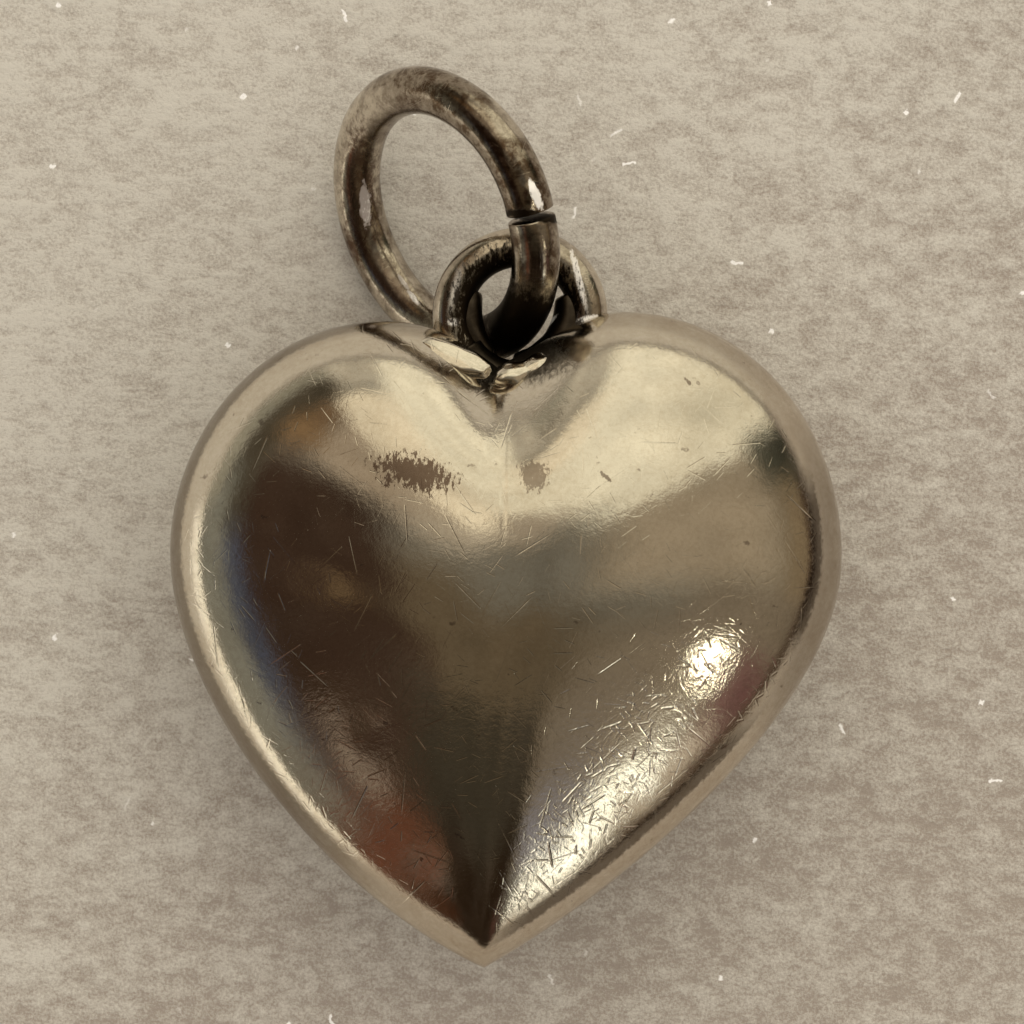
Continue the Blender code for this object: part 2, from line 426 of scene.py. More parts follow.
@dataclass(frozen=True)
class WornSilver:
    """Polished silver with tarnish, painted shade with tarnish in its hollows, painted glints, hairline scratches,
    scuffs and small stains.
    """

    clean: Colour
    tarnished: Colour
    tarnish: float
    roughness: float
    hairlines: tuple[ScratchLayer, ...]
    scuffs: tuple[ScratchLayer, ...] = ()
    scuffed: tuple[Spot, ...] = ()
    stains: tuple[Spot, ...] = ()
    # Painted shade with tarnish: places darkened to near black as hollows in shade
    hollow_shade_and_tarnish: tuple[Spot, ...] = ()
    grime: tuple[GrimeBand, ...] = ()
    creases: tuple[Spot, ...] = ()
    # Painted glints: places painted near white and matte to stand in for highlights
    painted_glints: tuple[Spot, ...] = ()
    seam_tarnish: float = 0.0
    speckle: float = 0.0
    patchy: tuple[float, float] = (0.35, 0.75)
    cloud_share: float = 0.6
    fine_tarnish: float = 0.8
    seam_levels: tuple[float, float] = (2.1, 0.3)
    speck_levels: tuple[float, float] = (0.68, 0.74)
    fray_stretch: Triple = (1.7, 0.75, 1.0)
    fray: float = 3.8
    groove_shine: float = 0.35
    relief: float = 0.0040
    grain: float = 0.0024
    crease: float = 0.0024

    def material(self, name: str) -> Any:
        """Make the finish.

        Args:
            name: the material's name.

        Returns:
            The material.
        """
        material, tree, shader = new_material(name)
        place = tree.millimetres()
        cloudy, mottled, fine = (tree.noise(place, pattern) for pattern in (CLOUDS, MOTTLE, FINE))
        ragged = (tree.noise(place * self.fray_stretch, FRAY) - 0.5) * self.fray
        tarnish = cloudy.step(*self.patchy) * self.cloud_share + mottled.step(*self.patchy) * (1 - self.cloud_share)
        tarnish = tarnish * self.tarnish + (fine - 0.5) * self.fine_tarnish
        if self.seam_tarnish:
            near_seam = place.part(2).distance().step(*self.seam_levels)
            tarnish = tarnish + near_seam * (mottled + 0.35) * self.seam_tarnish
        height = mottled * self.relief + fine * self.grain
        grooves = None
        for layer in self.hairlines:
            groove = layer.grooves(place)
            height = height - groove * layer.depth
            grooves = groove if grooves is None else grooves.top(groove)
        scuffed = any_of(self.scuffed, place, ragged * 0.25)
        if scuffed is not None:
            for layer in self.scuffs:
                groove = layer.grooves(place) * scuffed
                height = height - groove * layer.depth
                grooves = grooves.top(groove)
        creases = any_of(self.creases, place, 0.0)
        if creases is not None:
            height = height - creases * self.crease
        colour = tree.blend(tarnish, self.clean, self.tarnished)
        colour = tree.blend(grooves * self.groove_shine, colour, self.clean)
        for band in self.grime:
            colour = tree.blend(band.mask(place, (fine - 0.5) * 4.0), colour, GRIME)
        rough = (mottled - 0.5) * 0.12 + grooves * 0.05 + tarnish * 0.10 + self.roughness
        # Painted glints, stains and painted shade with tarnish in hollows are laid over the colour in turn
        painted_glints = any_of(self.painted_glints, place, ragged * 0.5)
        stains = any_of(self.stains, place, ragged)
        if self.speckle:
            specks = tree.noise(place, SPECKS).step(*self.speck_levels) * self.speckle
            stains = specks if stains is None else stains.top(specks)
        hollow_shade_and_tarnish = any_of(self.hollow_shade_and_tarnish, place, ragged * 0.3)
        for mask, overlay in ((painted_glints, PAINTED_GLINT), (stains, STAIN), (hollow_shade_and_tarnish, HOLLOW_SHADE_AND_TARNISH)):
            if mask is not None:
                colour = tree.blend(mask, colour, overlay.colour)
                rough = rough + mask * overlay.roughness
        # Where a glint is painted the surface is matte, not metal
        tree.feed(shader, {"Metallic": 1.0})
        if painted_glints is not None:
            tree.feed(shader, {"Metallic": 1 - painted_glints})
        tree.feed(shader, {"Base Color": colour, "Roughness": rough, "Normal": tree.bump(height, 1.0)})
        return material


@dataclass(frozen=True)
class PaleCloth:
    """A pale felted cloth with a soft mottle, bright fibres and dust, with a painted falloff of light across it and
    a pool of light painted on it beyond the pendant.
    """

    light: Colour
    dark: Colour
    middle: Triple
    # Where the pool of light is painted: its way from the middle, its half-angle and edge in degrees, and how far
    # out it starts in millimetres
    light_pool_way: Triple
    light_pool_half_angle: float = 33.0
    light_pool_edge: float = 10.0
    light_pool_from: float = 55.0
    # Painted falloff of light: the cloth is painted lighter towards -X and +Y and darker towards +X and -Y
    painted_falloff: Triple = (-0.030, 0.036, 0.0)
    dapple_stretch: Triple = (0.6, 1.3, 1.0)
    felt_stretch: Triple = (0.85, 1.25, 1.0)
    ridge_stretch: Triple = (0.8, 1.2, 1.0)
    contrast: tuple[float, float] = (0.30, 0.70)
    weights: Triple = (0.30, 0.76, 0.80)
    relief: Triple = (0.12, 0.09, 0.02)
    fibres: ScratchLayer = ScratchLayer(0.40, 0.20, 0.07, 0.40, 0.0, 2.7)
    dots: ScratchLayer = ScratchLayer(0.62, 0.08, 0.10, 0.34, 0.0, 31.0)
    motes: ScratchLayer = ScratchLayer(0.17, 0.10, 0.12, 0.20, 0.0, 57.0)

    def material(self, name: str) -> Any:
        """Make the finish.

        Args:
            name: the material's name.

        Returns:
            The material.
        """
        material, tree, shader = new_material(name)
        place = tree.millimetres()
        from_middle = place - self.middle
        painted_falloff = from_middle.dot(self.painted_falloff) + 0.5
        broad = tree.noise(place * self.dapple_stretch, DAPPLE)
        mottle = tree.noise(place * self.felt_stretch, FELT)
        nap = tree.noise(place, NAP)
        weave = [part.step(*self.contrast) * weight for part, weight in zip((broad, mottle, nap), self.weights)]
        ridges = (tree.noise(place * self.ridge_stretch, RIDGES) - 0.5).distance().step(0.035, 0.0)
        # The felt's tone, with the painted falloff of light
        shade = (weave[0] + weave[1] + weave[2]) * 0.9 + painted_falloff.step(-0.1, 1.1) * 0.56 + ridges * 0.08 - 0.56
        colour = tree.blend(shade, self.dark, self.light)
        frayed = place + (tree.noise(place, BENDS) - 0.5) * 0.2
        fibres, dots, motes = (layer.grooves(frayed) for layer in (self.fibres, self.dots, self.motes))
        colour = tree.blend((fibres.top(dots) * 2.4).step(0.2, 1.3), colour, FIBRE)
        colour = tree.blend((motes * 2.0).step(0.2, 1.3) * 0.5, colour, DUST)
        # The painted pool of light beyond the pendant, in a sector of ways from the middle
        flat = from_middle * FLAT
        aside = flat.unit().dot(self.light_pool_way).angle()
        light_pool = aside.step(self.light_pool_half_angle, self.light_pool_half_angle - self.light_pool_edge)
        light_pool = light_pool * flat.length().step(self.light_pool_from, self.light_pool_from * 1.25)
        colour = tree.blend(light_pool, colour, PAINTED_LIGHT_POOL)
        height = mottle * self.relief[1] + broad * self.relief[0] + nap * self.relief[2]
        tree.feed(shader, {"Roughness": 0.9, "Specular IOR Level": 0.2})
        tree.feed(shader, {"Base Color": colour, "Normal": tree.bump(height, 0.7)})
        return material


# Mesh helpers

SHARP_ANGLE = math.radians(50)
END_ROUNDING = 0.12


def finished(bm: bmesh.types.BMesh, name: str, material: Any) -> Any:
    """Turn a finished bmesh into a smooth object at the origin.

    Args:
        bm: the bmesh, which is freed.
        name: the object's name.
        material: its material.

    Returns:
        The object.
    """
    mesh = bpy.data.meshes.new(name)
    bm.to_mesh(mesh)
    bm.free()
    mesh.shade_smooth()
    mesh.set_sharp_from_angle(angle=SHARP_ANGLE)
    mesh.materials.append(material)
    piece = bpy.data.objects.new(name, mesh)
    bpy.context.scene.collection.objects.link(piece)
    return piece


def dress(piece: Any, body: Body, slot: Slot, *nodes: str) -> None:
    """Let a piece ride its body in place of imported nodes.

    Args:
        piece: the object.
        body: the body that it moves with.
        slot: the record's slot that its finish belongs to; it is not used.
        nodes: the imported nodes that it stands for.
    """
    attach(piece, body.value)
    if nodes:
        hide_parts(*nodes)
    log.info("%s: %d faces on %s", piece.name, len(piece.data.polygons), body.value)


def rim_bmesh(outline: Sequence[Vector], level: float) -> tuple[bmesh.types.BMesh, Any]:
    """Start a bmesh with the outline at a level, each point numbered.

    Args:
        outline: the points of the outline.
        level: their height.

    Returns:
        The bmesh and the layer of its points' numbers.
    """
    bm = bmesh.new()
    number = bm.verts.layers.int.new("number")
    rim = bmesh.ops.create_circle(bm, segments=len(outline), radius=MM)["verts"]
    for index, vert in enumerate(rim):
        vert[number] = index
        vert.co = (*outline[index], level)
    return bm, number


def raise_ring(bm: bmesh.types.BMesh, edges: list[Any], move: Callable[[Any], Vector]) -> list[Any]:
    """Extrude a closed run of edges and move each new point.

    Args:
        bm: the bmesh.
        edges: the run.
        move: gives a new point's place.

    Returns:
        The new run.
    """
    made = bmesh.ops.extrude_edge_only(bm, edges=edges)["geom"]
    for vert in made:
        if isinstance(vert, bmesh.types.BMVert):
            vert.co = move(vert)
    return [edge for edge in made if isinstance(edge, bmesh.types.BMEdge) and edge.is_boundary]


def wire_arc(centre_radius: float, wire_radius: float, start: float, sweep: float, steps: int, sides: int) -> Any:
    """Bend round wire along an arc in the XY plane, its ends capped.

    Args:
        centre_radius: the arc's radius.
        wire_radius: the wire's radius.
        start: the angle where the arc starts.
        sweep: how far it runs, anticlockwise.
        steps: the number of stretches.
        sides: the number of points round the wire.

    Returns:
        The bmesh.
    """
    bm = bmesh.new()
    upright = Matrix.Rotation(math.pi / 2, 4, "X")
    stand = Matrix.Rotation(start, 4, "Z") @ Matrix.Translation((centre_radius, 0, 0)) @ upright
    bmesh.ops.create_circle(bm, segments=sides, radius=wire_radius, matrix=stand)
    bmesh.ops.spin(bm, geom=bm.verts[:] + bm.edges[:], cent=(0, 0, 0), axis=(0, 0, 1), angle=sweep, steps=steps)
    rims = [edge for edge in bm.edges if edge.is_boundary]
    bmesh.ops.holes_fill(bm, edges=rims, sides=sides)
    caps = [edge for edge in bm.edges if any(len(face.verts) == sides for face in edge.link_faces)]
    rounding = wire_radius * END_ROUNDING
    bmesh.ops.bevel(
        bm, geom=caps, offset=rounding, affect="EDGES", segments=2, profile=0.5, material=-1, clamp_overlap=True
    )
    bmesh.ops.recalc_face_normals(bm, faces=bm.faces)
    return bm


def wall(piece: Any, thickness: float) -> None:
    """Give a piece's surface a wall, inwards.

    Args:
        piece: the object.
        thickness: the wall's thickness.
    """
    solid = piece.modifiers.new("wall", "SOLIDIFY")
    solid.thickness = thickness
    solid.offset = -1


def uneven(place: Vector, depth: float, scale: float) -> float:
    """How far a surface stands proud at a point.

    Args:
        place: the point, in metres.
        depth: the farthest that it stands in or out, in millimetres.
        scale: the waves to a millimetre.

    Returns:
        The distance, in metres.
    """
    return depth * MM * noise.noise(place / MM * scale)


def held(share: float) -> float:
    """The share, held between 0 and 1."""
    return min(1.0, max(0.0, share))


def light(seen: Colour, mirror: Colour = (0.80, 0.75, 0.66)) -> Colour:
    """The light that shows as a screen colour in the silver.

    Args:
        seen: the screen colour, from 0 to 255.
        mirror: the share of each colour that the silver gives back.

    Returns:
        The light's linear colour.
    """
    linear = (((part / 255 + 0.055) / 1.055) ** 2.4 for part in seen)
    return tuple(part / share for part, share in zip(linear, mirror))


def bent(angle: float) -> float:
    """The angle within half a turn either way of 0."""
    return (angle + math.pi) % (2 * math.pi) - math.pi


# The pieces


@dataclass(frozen=True)
class HeartSide:
    """The measures in which the heart's two sides differ, in millimetres and degrees; its sign is that of X."""

    sign: int
    lobe_height: float
    lobe_reach: float
    shoulder_run: float
    tip_run: float
    cleft_rise: float
    tip_rise: float


@dataclass
class Heart:
    """The two domed shells and the seam between them. Its wear is given as depths and waves to a millimetre."""

    right: HeartSide = HeartSide(1, 15.75, 3.05, 3.15, 3.4, 28, 30)
    left: HeartSide = HeartSide(-1, 15.4, 2.6, 2.65, 4.0, 37, 23)
    width: float = 16.06 * MM
    height: float = 15.75 * MM
    depth: float = 7.8 * MM
    cleft_depth: float = 1.38 * MM
    widest_height: float = 9.9 * MM
    tip_shift: float = 0.31 * MM
    cleft_run: float = 1.15 * MM
    lobe_inner_run: float = 1.0 * MM
    lobe_outer_run: float = 3.1 * MM
    flank_run: float = 3.65 * MM
    crown_height: float = 9.3 * MM
    crown_radius: float = 5.75 * MM
    roll_turns: tuple[float, ...] = (0, 50, 130, 180, 225, 270, 315)
    roll_widths: tuple[float, ...] = (0.54, 0.68, 0.86, 0.60, 0.47, 0.48, 0.47)
    puff: float = 2.3
    easing: float = 0.42
    pace_easing: float = 0.21 * MM
    thickness: float = 0.4 * MM
    rim_land: float = 0.2 * MM
    rim_level: float = 0.07 * MM
    seam_inset: float = 0.012 * MM
    tip: Vector = field(default_factory=lambda: Vector((-0.525, -15.628)) * MM)
    side_points: int = 190
    dome_rings: int = 56
    curve_steps: int = 200
    wear: tuple[tuple[float, float], ...] = ((0.012, 0.35), (0.004, 0.9))
    wear_levels: tuple[float, float] = (0.6, 1.6)
    back_seed: float = 7.3
    dents: tuple[tuple[float, float, float, float], ...] = (
        (3.05, -11.4, 0.55, 0.022),
        (-4.9, -6.4, 0.50, 0.015),
        (0.9, -8.3, 0.80, 0.010),
        (-3.3, -9.9, 0.45, 0.018),
        (4.9, -8.4, 0.60, 0.016),
        (-2.1, -13.2, 0.40, 0.014),
    )

    def _side(self, side: HeartSide) -> list[Vector]:
        """One side of the outline, evenly spaced from the cleft to just before the tip.

        Args:
            side: the side's own measures.

        Returns:
            The points.
        """
        cleft = Vector((0, self.height - self.cleft_depth))
        lobe = Vector((side.lobe_reach * MM, side.lobe_height * MM))
        widest = Vector((self.width / 2 + side.sign * self.tip_shift, self.widest_height))
        rise, tip_rise = math.radians(side.cleft_rise), math.radians(side.tip_rise)
        from_cleft = self.cleft_run * Vector((math.cos(rise), math.sin(rise)))
        to_tip = side.tip_run * MM * Vector((math.cos(tip_rise), math.sin(tip_rise)))
        curves = (
            (cleft, from_cleft, Vector((-self.lobe_inner_run, 0)), lobe),
            (lobe, Vector((self.lobe_outer_run, 0)), Vector((0, side.shoulder_run * MM)), widest),
            (widest, Vector((0, -self.flank_run)), to_tip, Vector((0, 0))),
        )
        points: list[Vector] = []
        for start, leave, arrive, end in curves:
            points += interpolate_bezier(start, start + leave, end + arrive, end, self.curve_steps)
        lengths = np.cumsum([0.0] + [(b - a).length for a, b in zip(points, points[1:])])
        places = np.linspace(0, lengths[-1], self.side_points + 1)[:-1]
        across = np.interp(places, lengths, [side.sign * point.x for point in points])
        along = np.interp(places, lengths, [point.y for point in points])
        return [self.tip + Vector(place) for place in zip(across, along)]

    def outline(self) -> list[Vector]:
        """The closed outline, anticlockwise from the cleft."""
        return self._side(self.left) + [self.tip.copy()] + self._side(self.right)[:0:-1]

    def _contours(self, outline: list[Vector]) -> list[list[Vector]]:
        """The contours of a dome, from the rim in to the crown.

        Args:
            outline: the rim.

        Returns:
            The contours, each with one point for each point of the outline.
        """
        crown = self.tip + Vector((self.tip_shift, self.crown_height))
        dome = self.depth / 2 - self.rim_level - self.rim_land
        turns = [math.degrees(math.atan2(point.y - crown.y, point.x - crown.x)) for point in outline]
        rolls = np.interp(turns, self.roll_turns, self.roll_widths, period=360) * MM
        pace = dome**2 * self.puff / (4 * float(np.mean(rolls)))
        count = len(outline)
        steps = [outline[(i + 1) % count] - outline[i] for i in range(count)]
        spacing = sum(step.length for step in steps) / count
        tangents = [(steps[i - 1].normalized() + steps[i].normalized()).normalized() for i in range(count)]
        ways = [(point - crown).normalized() for point in outline]
        reaches = np.fft.rfft([(point - crown).length for point in outline])
        slants = np.array([way.dot(Vector((t.y, -t.x))) for way, t in zip(ways, tangents)])
        paces = np.fft.rfft(dome**2 * self.puff / (4 * rolls * slants))
        waves = 2 * math.pi * np.fft.rfftfreq(count, spacing)

        def eased(values: Any, spread: float) -> Any:
            """The run of values, smoothed over a spread along the outline."""
            return np.fft.irfft(values * np.exp(-((waves * spread) ** 2) / 2), count)

        contours = []
        for ring in range(self.dome_rings + 1):
            angle = ring / self.dome_rings * math.pi / 2
            travel = 1 - math.cos(angle) ** (2 / self.puff)
            spread = self.easing * travel * pace
            from_crown = (
                eased(reaches, spread) * (2 * travel**3 - 3 * travel**2 + 1)
                - eased(paces, spread + self.pace_easing) * (travel**3 - 2 * travel**2 + travel)
                - self.crown_radius * (travel**3 - travel**2)
            )
            contours.append([Vector((*(crown + w * f), dome * math.sin(angle))) for f, w in zip(from_crown, ways)])
        return contours

    def _wear(self, place: Vector, front: bool) -> float:
        """How far handling has moved the sheet in or out at a point of the dome.

        Args:
            place: the point.
            front: whether it is on the front shell.

        Returns:
            The move along Z, in metres.
        """
        spot = place / MM
        seed = 0.0 if front else self.back_seed
        (broad, broad_scale), (small, small_scale) = self.wear
        shift = broad * noise.noise(spot * broad_scale + Vector((seed, 0, 0)))
        shift += small * noise.noise(spot * small_scale + Vector((0, seed, 0)))
        if front:
            for x, y, radius, deep in self.dents:
                away = math.hypot(spot.x - x, spot.y - y) / radius
                if away < 2.5:
                    shift -= deep * math.exp(-away * away)
        return shift * MM

    def shell(self, name: str, material: Any, front: bool) -> Any:
        """Build one shell.

        Args:
            name: the piece's name.
            material: its finish.
            front: whether it is the front shell.

        Returns:
            The object.
        """
        outline = self.outline()
        bm, number = rim_bmesh(outline, self.rim_level)
        edges = bm.edges[:]
        lift = Vector((0, 0, self.rim_level + self.rim_land))
        for contour in self._contours(outline):
            edges = raise_ring(bm, edges, lambda vert, contour=contour: contour[vert[number]] + lift)
        crown = list({vert for edge in edges for vert in edge.verts})
        bmesh.ops.remove_doubles(bm, verts=crown, dist=self.thickness / 100)
        wear_from, wear_over = self.wear_levels
        for vert in bm.verts:
            vert.co.z += self._wear(vert.co, front) * held((vert.co.z / MM - wear_from) / wear_over)
        if not front:
            bmesh.ops.scale(bm, vec=(1, 1, -1), verts=bm.verts)
        bmesh.ops.recalc_face_normals(bm, faces=bm.faces)
        piece = finished(bm, name, material)
        wall(piece, self.thickness)
        return piece

    def seam(self, material: Any) -> Any:
        """Build the line of solder between the rims, a hair inside them.

        Args:
            material: its finish.

        Returns:
            The object.
        """
        outline = self.outline()
        centre = self.tip + Vector((self.tip_shift, self.crown_height))
        drawn_in = [point + (centre - point).normalized() * self.seam_inset for point in outline]
        bm, number = rim_bmesh(drawn_in, -self.rim_level)
        raise_ring(bm, bm.edges[:], lambda vert: Vector((*drawn_in[vert[number]], self.rim_level)))
        bmesh.ops.recalc_face_normals(bm, faces=bm.faces)
        piece = finished(bm, "seam_line", material)
        wall(piece, self.thickness)
        return piece

    def build(self, silver: WornSilver, back_silver: WornSilver) -> None:
        """Build and dress the shells and the seam.

        Args:
            silver: the front shell's finish.
            back_silver: the finish of the back shell and the seam.
        """
        front = silver.material("worn_silver")
        dress(self.shell("front_dome", front, True), Body.HEART, Slot.SHELL, "front_shell")
        back = back_silver.material("worn_silver_back")
        dress(self.shell("back_dome", back, False), Body.HEART, Slot.SHELL, "back_shell")
        dress(self.seam(back), Body.HEART, Slot.SEAM, "seam_solder")


@dataclass(frozen=True)
class SolderArc:
    """A lumpy arc of solder round the middle of the eye's hole, in millimetres and degrees."""

    name: str
    start: float
    sweep: float
    radius: float
    centre_radius: float
    steps: int
    lump: float
    lump_scale: float
    sides: int = 28

    def build(self, material: Any, girth: Callable[[float], float]) -> Any:
        """Build the arc.

        Args:
            material: its finish.
            girth: its thickness as a share of its greatest, by the place along it, from -0.5 to 0.5.

        Returns:
            The object.
        """
        start, sweep, centre_radius = math.radians(self.start), math.radians(self.sweep), self.centre_radius * MM
        bm = wire_arc(centre_radius, self.radius * MM, start, sweep, self.steps, self.sides)
        for vert in bm.verts:
            angle = math.atan2(vert.co.y, vert.co.x)
            along = bent(angle - start - sweep / 2) / sweep
            spine = Vector((math.cos(angle), math.sin(angle), 0)) * centre_radius
            vert.co = spine + (vert.co - spine) * girth(along)
            vert.co += (vert.co - spine).normalized() * uneven(vert.co, self.lump, self.lump_scale)
        return finished(bm, self.name, material)


@dataclass(frozen=True)
class SolderRun:
    """A flattened run of bright solder, waisted like a bone, in millimetres and degrees."""

    name: str
    middle: Triple
    reach: Triple
    turn: float
    lean: float
    waist: float
    waist_reach: float = 0.35
    lump: float = 0.16
    small_share: float = 0.2
    lump_scales: tuple[float, float] = (1.7, 3.6)

    def build(self, material: Any) -> Any:
        """Build the run in front of the eye.

        Args:
            material: its finish.

        Returns:
            The object.
        """
        bm = bmesh.new()
        bmesh.ops.create_uvsphere(bm, u_segments=64, v_segments=40, radius=1.0)
        middle = Vector(self.middle)
        large, small = self.lump_scales
        for vert in bm.verts:
            waist = 1 - self.waist * math.exp(-((vert.co.x / self.waist_reach) ** 2))
            vert.co = Vector((vert.co.x, vert.co.y * waist, vert.co.z * waist))
            lumps = noise.noise(vert.co * large + middle) + self.small_share * noise.noise(vert.co * small - middle)
            vert.co *= 1 + self.lump * lumps
        bmesh.ops.scale(bm, vec=Vector(self.reach) * MM, verts=bm.verts)
        lean = Matrix.Rotation(math.radians(self.lean), 4, "X")
        turn = Matrix.Rotation(math.radians(self.turn), 4, "Z")
        bmesh.ops.transform(bm, matrix=Matrix.Translation(middle * MM) @ lean @ turn, verts=bm.verts)
        bmesh.ops.recalc_face_normals(bm, faces=bm.faces)
        return finished(bm, self.name, material)


@dataclass
class HangingEye:
    """The wire arch in the cleft and the solder that holds it, with its angles in degrees."""

    hole: float = 2.2956 * MM
    wire: float = 0.95 * MM
    foot_dip: float = 42.0
    steps: int = 120
    sides: int = 36
    saddle_radius: float = 0.60
    saddle_waist: float = 0.50
    saddle_lap: float = 9.0
    fillets: tuple[SolderArc, ...] = (
        SolderArc("solder_fillet_right", -98, 124, 0.45, 1.18, 36, 0.02, 3.0),
        SolderArc("solder_fillet_left", -208, 84, 0.34, 1.22, 36, 0.02, 3.0),
    )
    fillet_ends: float = 0.45
    runs: tuple[SolderRun, ...] = (
        SolderRun("solder_run_right", (0.16, -1.35, 1.38), (0.80, 0.38, 0.24), 24, -32, 0.35),
        SolderRun("solder_run_left", (-1.60, -1.10, 1.48), (0.98, 0.39, 0.21), -24, -28, 0.1),
    )

    @property
    def radius(self) -> float:
        """The radius of the wire's centre line."""
        return (self.hole + self.wire) / 2

    def arch(self, material: Any) -> Any:
        """Build the arch, its feet sunk in the solder.

        Args:
            material: its finish.

        Returns:
            The object.
        """
        dip = math.radians(self.foot_dip)
        bm = wire_arc(self.radius, self.wire / 2, -dip, math.pi + 2 * dip, self.steps, self.sides)
        for vert in bm.verts:
            vert.co += vert.normal * uneven(vert.co, 0.006, 1.4)
        return finished(bm, "eye_arch", material)

    def saddle(self, material: Any) -> Any:
        """Build the solder: a saddle under the hole that swells round both feet.

        Args:
            material: its finish.

        Returns:
            The object.
        """
        start = 180 + self.foot_dip - self.saddle_lap
        sweep = 180 - 2 * self.foot_dip + 2 * self.saddle_lap
        waist = self.saddle_waist / self.saddle_radius
        saddle = SolderArc("solder_saddle", start, sweep, self.saddle_radius, self.radius / MM, 40, 0.03, 2.2)
        return saddle.build(material, lambda along: waist + (1 - waist) * min(1.0, 4 * along * along))

    def _fillet_girth(self, along: float) -> float:
        """How thick a fillet is at a place along it, full in the middle."""
        return self.fillet_ends + (1 - self.fillet_ends) * math.sin(math.pi * held(0.5 + along)) ** 0.5

    def build(self, silver: WornSilver, solder: WornSilver, bright_solder: WornSilver) -> None:
        """Build and dress the arch and its solder.

        Args:
            silver: the arch's finish.
            solder: the saddle's and the fillets' finish.
            bright_solder: the finish of the runs in front of the eye.
        """
        dress(self.arch(silver.material("eye_silver")), Body.HEART, Slot.EYE, "hanging_eye")
        dark = solder.material("dark_solder")
        dress(self.saddle(dark), Body.HEART, Slot.SOLDER, "eye_solder")
        for fillet in self.fillets:
            dress(fillet.build(dark, self._fillet_girth), Body.HEART, Slot.SOLDER)
        bright = bright_solder.material("bright_solder")
        for run in self.runs:
            dress(run.build(bright), Body.HEART, Slot.SOLDER)


@dataclass
class JumpRing:
    """The loose ring of butt-cut wire."""

    wire: float = 1.15 * MM
    outside: float = 7.44 * MM
    cut: float = 0.14 * MM
    step: float = 0.10 * MM
    inward_end: float = 0.10 * MM
    inward_from: float = math.radians(38)
    cut_angle: float = math.radians(53)
    seat: Vector = field(default_factory=lambda: Vector((0.05, -0.02, 0)) * MM)
    swing_axis: Vector = field(default_factory=lambda: Vector((0.513, -0.620, -0.594)).normalized())
    from_hanging: float = math.radians(52.8)
    steps: int = 400
    sides: int = 64
    flat_depth: float = 0.006 * MM
    flat_facing: float = 0.9
    flats: tuple[tuple[Vector, Vector, float], ...] = (
        (Vector((0.33, 2.62, 2.02)) * MM, Vector((0.3841, -0.3117, 0.8691)), 0.52 * MM),
    )

    def _wear_flats(self, bm: bmesh.types.BMesh) -> None:
        """Rub the small flats into the wire.

        Args:
            bm: the ring, where it lies.
        """
        bm.normal_update()
        for middle, facing, reach in self.flats:
            way = facing.normalized()
            facing_it = [vert for vert in bm.verts if vert.normal.dot(way) > self.flat_facing]
            near = [vert for vert in facing_it if (vert.co - middle).length < reach]
            level = min(near, key=lambda vert: (vert.co - middle).length).co.dot(way) - self.flat_depth
            for vert in near:
                inside = held(2.2 - 2.2 * (vert.co - middle).length / reach)
                facing_share = min(1.0, (vert.normal.dot(way) - self.flat_facing) / 0.05)
                vert.co += way * (level - vert.co.dot(way)) * inside * facing_share

    def ring(self, material: Any) -> Any:
        """Build the ring where it lies in the eye.

        Args:
            material: its finish.

        Returns:
            The object.
        """
        radius = (self.outside - self.wire) / 2
        half_cut = self.cut / 2 / radius
        start, sweep = self.cut_angle + half_cut, 2 * (math.pi - half_cut)
        bm = wire_arc(radius, self.wire / 2, start, sweep, self.steps, self.sides)
        for vert in bm.verts:
            after_cut = (math.atan2(vert.co.y, vert.co.x) - self.cut_angle) % (2 * math.pi)
            outward = Vector((vert.co.x, vert.co.y, 0)).normalized()
            share = after_cut / (2 * math.pi)
            near_start = max(0.0, 1 - after_cut / self.inward_from)
            vert.co.z += self.step * (share - 0.5)
            vert.co -= outward * self.inward_end * near_start**2
            vert.co += vert.normal * uneven(vert.co, 0.008, 1.1)
        hanging = Matrix(((0, 0, -1), (-1, 0, 0), (0, 1, 0))).to_4x4()
        swung = Quaternion(self.swing_axis, -self.from_hanging).to_matrix().to_4x4()
        place = swung @ Matrix.Translation(self.seat) @ hanging @ Matrix.Translation((-radius, 0, 0))
        bmesh.ops.transform(bm, matrix=place, verts=bm.verts)
        self._wear_flats(bm)
        return finished(bm, "wire_ring", material)

    def build(self, silver: WornSilver) -> None:
        """Build and dress the ring.

        Args:
            silver: its finish.
        """
        dress(self.ring(silver.material("ring_silver")), Body.RING, Slot.RING, "jump_ring")


# The studio


@dataclass(frozen=True)
class SkyPatch:
    """A soft patch of the studio's surroundings, its angles in degrees and its colour as the silver shows it."""

    azimuth: float
    half_width: float
    top: float
    bottom: float
    colour: Colour
    side_edge: float
    level_edge: float


